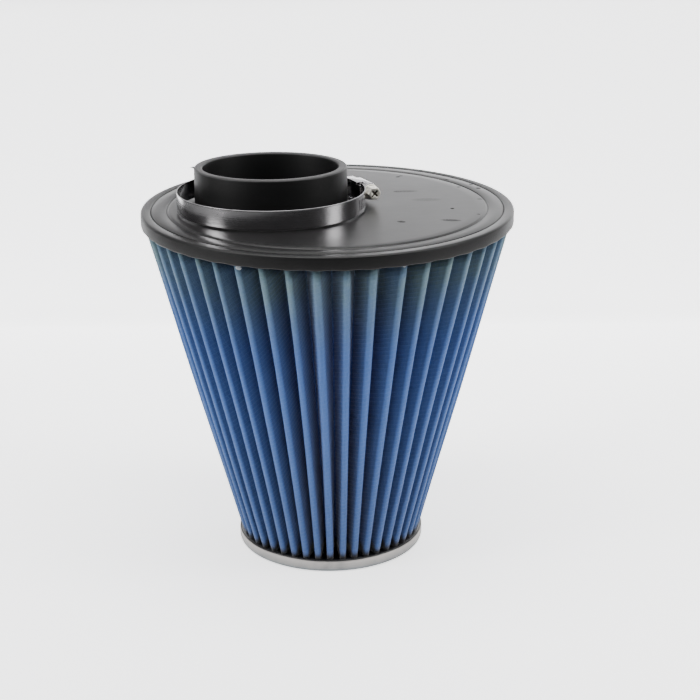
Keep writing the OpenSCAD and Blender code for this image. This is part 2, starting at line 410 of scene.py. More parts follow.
@dataclass(frozen=True)
class CapMoulding(Finish):
    """Black polyurethane: satin skin, paler dust bloom on the top face, scuffs and dark specks."""

    name: str = "cap_moulding"
    dark: Colour = (0.0026, 0.0025, 0.0026)
    bloom: Colour = (0.0105, 0.0100, 0.0104)
    # Tone of the painted highlight along the tube's lip.
    lip_highlight_tone: Colour = (0.042, 0.041, 0.042)
    top_z: float = 237.0
    face_band: Span = (-1.2, -0.2)
    high_band: Span = (1.2, 3.0)
    lip_z: float = 266.0
    lip_band: Span = (-1.2, -0.3)
    lip_y: float = -7.8
    lean: float = 2.0
    streaks: Place = (60.0, 420.0, 60.0)
    cloud_scale: float = 22.0
    grain_scale: float = 900.0
    side_rough: float = 0.50
    spot_rough: float = 0.60
    face_rough: float = 0.36
    specks: tuple[Speck, ...] = (
        Speck(48.7, 78.1, 1.8, 1.3, 35, 1.0), Speck(50.9, 81.0, 1.6, 0.9, 10, 0.9),
        Speck(81.9, -11.7, 1.6, 1.6, 0, 1.0), Speck(89.8, 47.1, 1.7, 1.3, 10, 0.6),
        Speck(79.2, -41.6, 7.4, 3.0, -9, 0.40), Speck(47.5, -44.5, 3.2, 2.6, -30, 0.55),
        Speck(53.0, 35.6, 9.0, 3.0, 4, 0.20), Speck(47.5, 35.2, 3.4, 2.8, 0, 0.30),
        Speck(97.9, -27.0, 1.4, 1.6, 0, 0.5), Speck(102.0, 13.0, 2.6, 2.2, 10, 0.25),
        Speck(98.7, 56.4, 1.9, 1.2, -40, 0.8), Speck(103.0, 45.4, 2.2, 1.8, -50, 0.9),
        Speck(82.6, 71.6, 3.4, 1.0, -41, 1.0), Speck(66.0, 12.0, 11.0, 5.0, 3, 0.10),
    )

    def fill(self, kit: NodeKit) -> None:
        """Blooms the top face with dust, keeps the walls dark, sinks the specks, paints the lip's
        highlight.

        Each speck is an ellipse that fades over its rim, and the lip's height is taken along the
        leaning tube.

        Args:
            kit: The material's nodes.
        """
        x, y, z = kit.place()
        face = z.passes(self.top_z, self.face_band)
        high = z.passes(self.top_z, self.high_band)
        flat = face * (1 - high)
        cloud = kit.noise(self.cloud_scale, 4.0, 0.6)
        fine = kit.noise(self.grain_scale, 4.0, 0.65)
        along = kit.vector(*(part * waves for part, waves in zip((x, y, z), self.streaks)))
        streak = kit.noise(1.0, 3.0, 0.6, along)
        bloom = flat * (0.35 + 0.65 * cloud.rise(0.3, 0.75)) * (0.75 + 0.5 * streak)
        colour = kit.mix(bloom, self.dark, self.bloom)
        spots: Shade | None = None
        for speck in self.specks:
            c, s = heading(speck.turn)
            east, north = x - speck.x * MM, y - speck.y * MM
            along = (east * c + north * s) / (speck.long * MM)
            across = (north * c - east * s) / (speck.wide * MM)
            spot = (1 - (along * along + across * across).rise(0.2, 1.1)) * speck.depth
            spots = spot if spots is None else spots.larger(spot)
        spots = spots * flat * kit.noise(700.0, 2.0).rise(0.2, 0.5)
        colour = kit.mix(spots, colour, toned(self.dark, 0.35))
        scuff = kit.noise(140.0, 5.0, 0.7).rise(0.62, 0.78) * (1 - flat)
        colour = kit.mix(scuff * 0.35, colour, toned(self.bloom, 1.6))
        # Painted highlight along the tube's lip.
        up = z + math.tan(math.radians(self.lean)) * (y - self.lip_y * MM)
        lip = up.passes(self.lip_z, self.lip_band)
        colour = kit.mix(lip * (0.45 + 0.5 * cloud.rise(0.3, 0.7)), colour, self.lip_highlight_tone)
        rough = self.side_rough + flat * (self.face_rough - self.side_rough)
        rough = rough + 0.10 * (cloud - 0.5) + 0.03 * (streak - 0.5) + self.spot_rough * spots
        height = fine * (0.5 - 0.49 * flat) + cloud * 0.8 - spots * 1.6
        kit.surface(Base_Color=colour, Roughness=rough, Normal=kit.bump(height, 0.12),
                    Specular_IOR_Level=0.22)


@dataclass(frozen=True)
class PackGauze(Finish):
    """Blue dyed cotton gauze under a fine wire mesh, painted highlight on crowns, painted shade in
    folds.
    """

    name: str = "pack_gauze"
    # The ridge tone is a painted highlight on the crowns and also the wires' colour; the valley
    # tone is painted shade down in the folds.
    ridge: Colour = (0.0440, 0.101, 0.278)
    flank: Colour = (0.0245, 0.060, 0.187)
    valley: Colour = (0.0090, 0.0250, 0.135)
    oiled: Colour = (0.110, 0.170, 0.168)
    potting: Colour = (0.004, 0.004, 0.005)
    potting_z: float = 8.5
    oiled_low: float = 160.0
    oiled_high: float = 224.0
    # Height in millimetres where the painted shade over the pack's lower part fades out.
    painted_shade_below: float = 150.0
    # Shares of the fold's depth where the painted crown highlight fades out and the painted valley
    # shade comes in.
    crown: Span = (0.0, 0.13)
    deep: Span = (0.20, 0.90)
    # Darker copies of the oil tint for flanks and valleys: painted shade.
    oiled_flank_shade: float = 0.60
    oiled_valley_shade: float = 0.42
    # Strength of the painted shade over the pack's lower part.
    painted_foot_shade: float = 0.38
    # Height above the potting, extra height in the folds and cloudy spread of the black near the
    # narrow end, in mm.
    black_reach: float = 3.8
    black_reach_folds: float = 4.5
    black_reach_clouds: float = 4.0
    mesh_pitch: float = 3.2
    mesh_slope: float = 0.36
    sway: float = 1.2
    thread_pitch: float = 0.62
    streaks: Span = (500.0, 28.0)

    def fill(self, kit: NodeKit) -> None:
        """Colours by depth in the fold as painted crown highlight and fold shade, then lays mesh
        and threads.

        Low down the sheet turns black, higher in the folds; painted shade darkens its lower part.

        Args:
            kit: The material's nodes.
        """
        _, _, z = kit.place()
        u, v, _ = kit.place("UV")
        fold = kit.mark("fold")
        wave = 2 * math.pi / (self.mesh_pitch * MM)
        sway = self.sway * MM * kit.noise(60.0, 2.0)
        rising = ((v - self.mesh_slope * u + sway) * wave).sine().rise(0.40, 1.0)
        falling = ((u + self.mesh_slope * v + sway) * wave).sine().rise(0.7, 1.0)
        wires = rising.larger(0.5 * falling)
        thread = 2 * math.pi / (self.thread_pitch * MM)
        weave = (u * thread).sine() * 0.5 + (v * thread).sine() * 0.5
        cloud = kit.noise(30.0, 4.0, 0.6)
        lint = kit.noise(1100.0, 3.0, 0.7)
        along = kit.vector(u * self.streaks[0], v * self.streaks[1], 0.0)
        streak = kit.noise(1.0, 3.0, 0.6, along)
        # Painted highlight on the crowns and painted shade down in the folds.
        tone = kit.mix(fold.rise(*self.crown), self.ridge, self.flank)
        tone = kit.mix(fold.rise(*self.deep), tone, self.valley)
        oil = z.rise(self.oiled_low * MM, self.oiled_high * MM)
        oil = oil * (0.55 + 0.45 * cloud.rise(0.3, 0.7))
        # The same painted highlight and shade on the oiled top.
        greens = kit.mix(fold.rise(*self.crown), self.oiled, toned(self.oiled, self.oiled_flank_shade))
        greens = kit.mix(fold.rise(*self.deep), greens, toned(self.oiled, self.oiled_valley_shade))
        tone = kit.mix(oil * 0.95, tone, greens)
        tone = kit.mix(streak.rise(0.45, 0.8) * 0.22, tone, toned(self.flank, 0.55))
        tone = kit.mix((1 - lint.rise(0.2, 0.5)) * 0.30, tone, toned(self.flank, 0.5))
        shown = (0.03 + 0.13 * fold.rise(0.05, 0.2)) * cloud.rise(0.25, 0.7)
        tone = kit.mix(wires * shown, tone, self.ridge)
        # Near the narrow end the sheet turns black, reaching higher down in the folds.
        black_reach = self.potting_z + self.black_reach + self.black_reach_folds * fold.rise(0.0, 0.30)
        black_reach = (black_reach + self.black_reach_clouds * (cloud - 0.5)) * MM
        blackened = 1 - ((z - black_reach) / MM).rise(-3.0, 3.0)
        # Painted shade over the pack's lower part, strongest at the narrow end.
        painted_foot_shade = self.painted_foot_shade * (1 - z.rise(0.0, self.painted_shade_below * MM))
        tone = kit.mix(painted_foot_shade, tone, self.potting)
        tone = kit.mix(blackened, tone, self.potting)
        height = (wires * 0.35 + weave * 0.25 + lint * 0.6) * (1 - 0.7 * blackened)
        rough = 0.84 - 0.15 * wires
        kit.surface(Base_Color=tone, Roughness=rough + blackened * (0.40 - rough),
                    Normal=kit.bump(height, 0.22), Specular_IOR_Level=0.25,
                    Sheen_Weight=0.08, Sheen_Roughness=0.5)


@dataclass(frozen=True)
class Potting(Finish):
    """Black cast potting: glossy, slightly uneven."""

    name: str = "potting"
    colour: Colour = (0.006, 0.006, 0.007)

    def fill(self, kit: NodeKit) -> None:
        """Glossy black with shallow flow marks.

        Args:
            kit: The material's nodes.
        """
        cloud = kit.noise(90.0, 3.0)
        fine = kit.noise(600.0, 3.0)
        shade = kit.mix(fine.rise(0.55, 0.8), self.colour, toned(self.colour, 2.2))
        kit.surface(Base_Color=shade, Roughness=0.28 + 0.3 * cloud,
                    Normal=kit.bump(cloud * 0.8 + fine * 0.3, 0.4))


@dataclass(frozen=True)
class Resin(Finish):
    """Pale dried resin, thin at its edges."""

    name: str = "resin"
    colour: Colour = (0.26, 0.30, 0.34)

    def fill(self, kit: NodeKit) -> None:
        """Cloudy grey, dull, with a broken surface.

        Args:
            kit: The material's nodes.
        """
        cloud = kit.noise(500.0, 3.0, 0.6)
        tone = kit.mix(cloud.rise(0.35, 0.7), toned(self.colour, 0.35), self.colour)
        kit.surface(Base_Color=tone, Roughness=0.45 + 0.2 * cloud, Normal=kit.bump(cloud, 0.4))


@dataclass(frozen=True)
class TurnedMetal(Finish):
    """Metal brushed round an axis, with faint smudges and fine scratches."""

    name: str
    colour: Colour
    smudge: Colour
    rough: float
    lines: float
    line_share: float
    smudge_share: float
    # Tone and share of the painted shade on marked rims.
    rim_shade_tone: Colour
    rim_shade_share: float
    brush_turn: float = 3.0
    nick_turn: float = 40.0
    nick_lines: float = 900.0

    def fill(self, kit: NodeKit) -> None:
        """Stretches noise round the axis for the brushing, adds smudges, and paints shade on marked
        rims.

        Args:
            kit: The material's nodes.
        """
        x, y, z = kit.place()
        bearing = y.angle(x)
        along = kit.vector(bearing * self.brush_turn, z * self.lines, 0.0)
        brush = kit.noise(1.0, 4.0, 0.6, along)
        cloud = kit.noise(55.0, 4.0, 0.6)
        along = kit.vector(bearing * self.nick_turn, z * self.nick_lines, 0.0)
        nick = kit.noise(1.0, 2.0, 0.5, along).rise(0.66, 0.74)
        tone = kit.mix(cloud.rise(0.45, 0.8) * self.smudge_share, self.colour, self.smudge)
        tone = kit.mix(nick * 0.25, tone, toned(self.colour, 0.5))
        rim = kit.mark("rim")
        rough = self.rough + self.line_share * (brush - 0.5)
        rough = rough + 0.12 * cloud.rise(0.4, 0.8) + 0.30 * rim
        # Painted shade on the marked rims.
        tone = kit.mix(rim * self.rim_shade_share, tone, self.rim_shade_tone)
        kit.surface(Base_Color=tone, Metallic=1.0, Roughness=rough,
                    Normal=kit.bump(brush * 0.6 + nick * 0.4, 0.05))


@dataclass(frozen=True)
class ZincPlate(Finish):
    """Zinc-plated screw: pale bright metal with dull patches and dirt down in the cross recess."""

    name: str = "zinc_plate"
    bright: Colour = (0.84, 0.82, 0.74)
    dull: Colour = (0.36, 0.33, 0.26)
    dirt: Colour = (0.150, 0.135, 0.105)
    foot: Place = (24.3057, 14.3187, 244.95)
    aim: Span = (0.432502, -0.901633)
    face: float = 16.45
    recess_r: float = 2.95
    recess_floor: Span = (2.6, 2.2)
    recess_mouth: Span = (0.7, 0.1)

    def fill(self, kit: NodeKit) -> None:
        """Mixes dull oxide patches into the plating and darkens the cross recess.

        The recess is what lies behind the head's face within a small radius of the screw's axis.

        Args:
            kit: The material's nodes.
        """
        x, y, z = kit.place()
        east, north, up = (part - foot * MM for part, foot in zip((x, y, z), self.foot))
        along = (east * self.aim[0] + north * self.aim[1]) / MM
        across = (north * self.aim[0] - east * self.aim[1]) / MM
        radius = (across * across + (up / MM) * (up / MM)) ** 0.5
        pit = along.rise(*(self.face - depth for depth in self.recess_floor))
        pit = pit * (1 - along.rise(*(self.face - depth for depth in self.recess_mouth)))
        pit = pit * (1 - radius.rise(self.recess_r - 0.1, self.recess_r + 0.1))
        cloud = kit.noise(420.0, 4.0, 0.6)
        fine = kit.noise(2500.0, 3.0)
        tone = kit.mix(cloud.rise(0.50, 0.78), self.bright, self.dull)
        tone = kit.mix(pit, tone, self.dirt)
        kit.surface(Base_Color=tone, Metallic=0.92,
                    Roughness=0.30 + 0.30 * cloud.rise(0.4, 0.75) + 0.3 * pit,
                    Normal=kit.bump(cloud * 0.5 + fine * 0.4, 0.08))


@dataclass
class TopCap:
    """The moulded cap with its grooves, leaning inlet tube, flash and drops, in millimetres."""

    height: float = 237.0
    edge: float = 1.5
    chamfer: float = 1.0
    outer_groove: float = 116.2
    inner_groove: float = 105.8
    groove_w: float = 1.6
    groove_depth: float = 0.9
    rise: float = 0.5
    bore: float = 44.45
    wall: float = 5.5
    tube_h: float = 28.5
    lip: float = 1.4
    foot: float = 1.5
    offset: float = 37.5
    bearing: float = 192.0
    lean: float = 2.0
    scallops: int = 45
    scallop: float = 0.22
    smears: tuple[tuple[str, float, float], ...] = (
        ("drop_left", -115.5, 4.4), ("drop_right", -67.1, 2.0))
    cols: int = 360
    radius: float = field(init=False)
    thick: float = field(init=False)
    axis: Axis = field(init=False)

    def __post_init__(self) -> None:
        """Reads the cap's radius and thickness from the frame and places the tube's axis."""
        low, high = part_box("top_cap")
        self.radius = (high.x - low.x) / 2 / MM
        self.thick = self.height - low.z / MM
        c, s = heading(self.bearing)
        self.axis = Axis(self.offset * c, self.offset * s, self.height + self.rise, self.lean)

    def groove(self, r: float, step: float) -> np.ndarray:
        """A groove's profile: a rounded dip, one cosine wave of its depth across its width.

        Args:
            r: Radius of the groove's middle.
            step: How much higher its inner side is than its outer one.

        Returns:
            Array (9, 2) of radius and height, from the inner side to the outer one.
        """
        dip = np.linspace(-1, 1, 9)
        wide = self.groove_w / 2 * np.where(dip < 0, 1 + 3.0 * step, 1.0)
        side = self.height + step * (0.5 - 0.5 * np.sin(np.pi / 2 * dip))
        low = (0.5 + 0.5 * np.cos(np.pi * dip)) * self.groove_depth
        return np.stack([r + wide * dip, side - low], -1)

    def edge_rings(self) -> np.ndarray:
        """Rings from the panel's rim over the grooves and the edge to the underside.

        The lower edge rises and falls by a cosine wave over the pleats.

        Returns:
            Array (rows, cols, 3), from the inside of the top face outwards and down.
        """
        top, low = self.height, self.height - self.thick
        profile = np.concatenate([
            self.groove(self.inner_groove, self.rise),
            self.groove(self.outer_groove, 0.0),
            Sheet.arc(self.radius - self.edge, top - self.edge, self.edge, 90, 0, 8),
            [[self.radius, top - self.thick * 0.5]],
            Sheet.arc(self.radius - self.chamfer, low + self.chamfer, self.chamfer, 0, -90, 6),
        ])
        grid = Sheet.rings(Axis(), profile, self.cols)
        a = np.arctan2(grid[..., 1], grid[..., 0])
        below = np.clip((top - self.thick * 0.7 - grid[..., 2]) / (self.thick * 0.3), 0, 1)
        grid[..., 2] += self.scallop * below * (1 + np.cos(self.scallops * a + 0.4))
        return grid

    def tube_rings(self) -> np.ndarray:
        """Rings of the tube, from inside the cap up the bore, over the lip and down to the foot.

        Returns:
            Array (rows, cols, 3) in the part's frame.
        """
        r0, r1 = self.bore, self.bore + self.wall
        heights = np.linspace(-self.thick - self.rise, self.tube_h - self.lip, 8)
        fillet = Sheet.arc(r1 + self.foot, self.foot, self.foot, 180, 270, 6)
        profile = np.concatenate([
            np.stack([np.full(8, r0), heights], -1),
            Sheet.arc(r0 + self.lip, self.tube_h - self.lip, self.lip, 180, 90, 8)[1:],
            Sheet.arc(r1 - self.lip, self.tube_h - self.lip, self.lip, 90, 0, 8),
            np.stack([np.full(3, r1), np.linspace(self.tube_h * 0.7, self.foot * 2, 3)], -1),
            fillet,
        ])
        return Sheet.rings(self.axis, profile, self.cols)

    def make(self) -> None:
        """Joins tube, top face, edge and underside into one closed skin, and adds the trim.

        The top face between the tube's foot and the inner groove, and the underside between the
        edge and the bore, are straight blends of the two circles that bound them.
        """
        tube, edge = self.tube_rings(), self.edge_rings()
        tube[0, :, 2] = self.height - self.thick
        tube[-1, :, 2] = self.height + self.rise
        share = np.linspace(0, 1, 14)[1:-1, None, None]
        panel = tube[-1] * (1 - share) + edge[0] * share
        under = edge[-1] * (1 - share) + tube[0] * share
        grid = np.concatenate([tube, panel, edge, under])
        cap = Sheet.build("filter_cap", grid, Sheet.quads(*grid.shape[:2], Closing.TORUS))
        CapMoulding(top_z=self.height).dress(cap)
        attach(cap, FILTER)
        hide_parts("top_cap")
        LOG.info("cap: %d points", grid.shape[0] * grid.shape[1])
        self.flash()
        self.drops()

    def flash(self) -> None:
        """A thin ragged flap of moulding flash on the lip's left side.

        It reaches out from the lip by half a cosine wave with a ripple, and thins to its edge.
        """
        reach, half_angle, thick, root, rows, cols = 2.5, 3.2, 0.8, 0.4, 7, 15
        s = np.linspace(0, 1, rows)[:, None]
        t = np.linspace(-1, 1, cols)[None, :]
        out = reach * np.cos(t * np.pi / 2) * (0.82 + 0.18 * np.sin(9 * t + 0.6))
        r = self.bore + self.wall - root + s * (out + root)
        a = np.pi + np.radians(half_angle) * t
        z0 = self.tube_h - self.lip
        half = thick / 2 * (1 - 0.75 * s) * (1 - t ** 8)
        top = np.stack([r * np.cos(a), r * np.sin(a), z0 + 0.5 * s + half], -1)
        low = np.stack([r * np.cos(a), r * np.sin(a), z0 + 0.5 * s - half], -1)
        grid = self.axis.place(np.concatenate([top, low[::-1]]))
        flap = Sheet.build("lip_flash", grid, Sheet.quads(2 * rows, cols, Closing.OPEN, flip=True))
        CapMoulding(top_z=self.height).dress(flap)
        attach(flap, FILTER)

    def drops(self) -> None:
        """Two pale smears of resin under the wall's lower edge.

        Each is a squashed ball, closed at its poles, with its flat side to the wall.
        """
        rows, cols, squash, inset, bite = 9, 16, (1.0, 0.4, 0.75), 1.2, 0.6
        for name, bearing, size in self.smears:
            a = np.radians(np.linspace(0, 180, rows))
            profile = np.stack([np.sin(a), np.cos(a)], -1) * size * 0.5
            ball = Sheet.rings(Axis(), profile, cols) * np.array(squash)
            c, s = heading(bearing)
            along, out = ball[..., 0], self.radius - inset - ball[..., 1]
            z = ball[..., 2] + self.height - self.thick - 0.3 * size + bite
            grid = np.stack([c * out - s * along, s * out + c * along, z], -1)
            drop = Sheet.build(name, grid, Sheet.quads(rows, cols, Closing.AROUND))
            Resin().dress(drop)
            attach(drop, FILTER)


@dataclass(frozen=True)
class Swing:
    """A cosine wave round the cone: its size, its count in one turn and its phase in degrees."""

    size: float
    count: int
    phase: float


@dataclass
class PleatedPack:
    """The pleated cone: one folded sheet with rounded ridges, in millimetres."""

    pleats: int = 45
    bearing: float = -3.0
    thick: float = 1.8
    fold: float = 1.4
    flank: float = 16.5
    low_z: float = 8.5
    high_z: float = 228.0
    low_r: float = 61.95
    high_r: float = 120.5
    rows: int = 26
    ridge_steps: int = 7
    flank_steps: int = 4
    valley_steps: int = 4
    lean_high: tuple[Swing, ...] = (Swing(-1.4, 2, 210.0), Swing(-0.7, 3, 330.0))
    lean_low: tuple[Swing, ...] = (Swing(1.5, 1, 110.0), Swing(0.6, 2, 290.0))
    sway: float = 0.35
    bow: float = 0.25

    @staticmethod
    def swings(waves: tuple[Swing, ...], a: np.ndarray) -> np.ndarray:
        """Sum of some waves at the bearings a, in radians."""
        return sum(w.size * np.cos(w.count * a + np.radians(w.phase)) for w in waves)

    def half_fold(self, ridge_r: float, side: float) -> tuple[np.ndarray, np.ndarray]:
        """Points of half a pleat from the ridge's crown to the valley's floor.

        The flank is the straight line that touches the ridge circle and the valley circle
        crosswise; the sheet's face lies at the distance side from the mid-line.

        Args:
            ridge_r: Radius of the ridges' crowns.
            side: Half the sheet's thickness, plus outside and minus inside.

        Returns:
            Points (n, 2), and the share of the way down the fold for each point.
        """
        h = math.pi / self.pleats
        rc = ridge_r - self.fold - self.thick / 2
        span = self.flank ** 2 + 4 * self.fold ** 2
        vc = rc * math.cos(h) - math.sqrt(span - (rc * math.sin(h)) ** 2)
        c, v = np.array([rc, 0.0]), vc * np.array([math.cos(h), math.sin(h)])
        turn = math.acos(2 * self.fold / float(np.linalg.norm(v - c)))
        touch = math.degrees(math.atan2(v[1] - c[1], v[0] - c[0]) - turn)
        crown = Sheet.arc(c[0], c[1], self.fold + side, 0, touch, self.ridge_steps)
        floor = Sheet.arc(v[0], v[1], self.fold - side, touch + 180, 180 + math.degrees(h),
                          self.valley_steps)
        share = np.linspace(0, 1, self.flank_steps + 1)[1:-1, None]
        line = crown[-1] * (1 - share) + floor[0] * share
        points = np.concatenate([crown, line, floor])
        r = np.hypot(points[:, 0], points[:, 1])
        return points, (r.max() - r) / (r.max() - r.min())

    def face(self, side: float) -> tuple[np.ndarray, np.ndarray, np.ndarray]:
        """One face of the sheet as a grid round the cone and up its height.

        Each level is the folded outline at that level's ridge radius, mirrored and repeated for
        every pleat. A smooth warp of the bearing, a sum of a few cosines that goes over from one
        set at the narrow end to another at the wide end, leans and spaces the pleats as unevenly as
        the real ones, and a slow wave moves the crowns in and out a little.

        Args:
            side: Half the sheet's thickness, plus outside and minus inside.

        Returns:
            Points (rows, cols, 3), depth in the fold (rows, cols), and length along the sheet.
        """
        level = np.linspace(0, 1, self.rows)
        half = [self.half_fold(self.low_r + (self.high_r - self.low_r) * s, side) for s in level]
        points = np.stack([outline for outline, _ in half])
        deep = np.stack([share for _, share in half])
        mirror = points[:, :0:-1] * np.array([1.0, -1.0])
        pleat = np.concatenate([mirror, points[:, :-1]], 1)
        depth = np.concatenate([deep[:, :0:-1], deep[:, :-1]], 1)
        turn = np.radians(self.bearing) + 2 * np.pi * np.arange(self.pleats) / self.pleats
        turn = turn[None, :, None]
        r = np.hypot(pleat[..., 0], pleat[..., 1])[:, None, :]
        a = np.arctan2(pleat[..., 1], pleat[..., 0])[:, None, :] + turn
        s = level[:, None, None]
        lean = self.swings(self.lean_high, a) * s + self.swings(self.lean_low, a) * (1 - s)
        uneven = 0.22 * np.sin(17 * a + 1.3 + 0.8 * s) + 0.18 * np.sin(23 * a + 4.0)
        warp = np.radians(lean + uneven * (0.35 + 0.65 * s))
        wave = self.sway * np.sin(13 * a + 2.0 + 2.5 * s) * np.sin(np.pi * s)
        bow = self.bow * np.sin(2 * np.pi * s + 7 * turn) * np.sin(np.pi * s)
        r = r + wave + bow
        a = a + warp
        z = self.low_z + (self.high_z - self.low_z) * s + 0 * a
        grid = np.stack([r * np.cos(a), r * np.sin(a), z], -1).reshape(self.rows, -1, 3)
        middle = grid[self.rows // 2]
        step = np.linalg.norm(np.diff(middle, axis=0, append=middle[:1]), axis=1)
        along = np.concatenate([[0.0], np.cumsum(step)[:-1]])
        return grid, np.tile(depth, (1, self.pleats)), np.tile(along, (self.rows, 1))

    def make(self) -> None:
        """Joins the outer and inner faces over both ends into one closed sheet.

        Its UV map is the length along the folds and the height along the slant, in metres.
        """
        outer, depth, along = self.face(self.thick / 2)
        inner, _, _ = self.face(-self.thick / 2)
        grid = np.concatenate([outer, inner[::-1]])
        fold = np.concatenate([depth, depth[::-1]])
        flare = math.atan((self.high_r - self.low_r) / (self.high_z - self.low_z))
        slant = grid[..., 2] / math.cos(flare)
        length = np.concatenate([along, along[::-1]])
        uv = np.stack([length, slant], -1).reshape(-1, 2) * MM
        rows, cols = grid.shape[:2]
        pack = Sheet.build("pleated_pack", grid, Sheet.quads(rows, cols, Closing.TORUS), uv=uv,
                           marks={"fold": fold})
        PackGauze().dress(pack)
        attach(pack, FILTER)
        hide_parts("media_pack")
        LOG.info("pack: %d pleats, %d cells", self.pleats, rows * cols)


@dataclass
class NarrowEnd:
    """The drawn metal cup and the potting in it, in millimetres."""

    radius: float = 63.85
    height: float = 8.0
    sheet: float = 0.8
    corner: float = 3.0
    potting_z: float = 8.5
    clearance: float = 0.05
    # Heights in millimetres where the painted shade and teal reflection at the cup's foot begin and
    # are full.
    painted_foot_shade: Span = (5.2, 0.8)
    cols: int = 256

    def cup(self) -> None:
        """The cup: a flat floor, a drawn corner and a wall with a rounded upper edge.

        Its rim mark is a painted contact shadow and teal reflection, growing down to the foot.
        """
        r, t, c = self.radius, self.sheet, self.corner
        profile = np.concatenate([
            [[POLE, 0.0], [r * 0.5, 0.0]],
            Sheet.arc(r - c, c, c, -90, 0, 10),
            Sheet.arc(r - t / 2, self.height - t / 2, t / 2, 0, 180, 8),
            Sheet.arc(r - c, c, c - t, 0, -90, 8),
            [[r * 0.5, t], [POLE, t]],
        ])
        grid = Sheet.rings(Axis(), profile, self.cols)
        # Painted contact shadow with a painted teal reflection darkens the cup's foot.
        upper, lower = self.painted_foot_shade
        rim = np.clip((upper - profile[:, 1]) / (upper - lower), 0, 1) ** 1.3
        piece = Sheet.build("metal_cup", grid, Sheet.quads(*grid.shape[:2], Closing.TORUS),
                            marks={"rim": np.repeat(rim, self.cols)})
        TurnedMetal("cup_metal", colour=(0.29, 0.275, 0.26), smudge=(0.20, 0.195, 0.19), rough=0.42,
                    lines=900.0, line_share=0.18, smudge_share=0.5,
                    rim_shade_tone=(0.08, 0.105, 0.12), rim_shade_share=0.9).dress(piece)
        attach(piece, FILTER)
        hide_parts("end_cap")

    def potting(self) -> None:
        """The potting: a disc whose face dips to the wall and ripples by a product of sines."""
        r = self.radius - self.sheet - self.clearance
        t = self.sheet + self.clearance
        bevel, rows = 0.6, 24
        face = np.stack([np.linspace(r - bevel, POLE, rows), np.full(rows, self.potting_z)], -1)
        profile = np.concatenate([
            [[POLE, t]],
            Sheet.arc(r - self.corner + t, self.corner, self.corner - t, -90, 0, 6),
            [[r, self.height - 0.3]], face,
        ])
        grid = Sheet.rings(Axis(), profile, self.cols)
        a = np.arctan2(grid[..., 1], grid[..., 0])
        ripple = -0.12 + 0.1 * np.sin(45 * a) * np.sin(grid[..., 0] * 0.6)
        grid[..., 2] += np.where(grid[..., 2] > self.height, ripple, 0)
        piece = Sheet.build("cup_potting", grid, Sheet.quads(*grid.shape[:2], Closing.TORUS))
        Potting().dress(piece)
        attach(piece, FILTER)
        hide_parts("end_potting")

    def make(self) -> None:
        """Makes the cup and its potting."""
        self.cup()
        self.potting()
        LOG.info("narrow end: cup and potting")


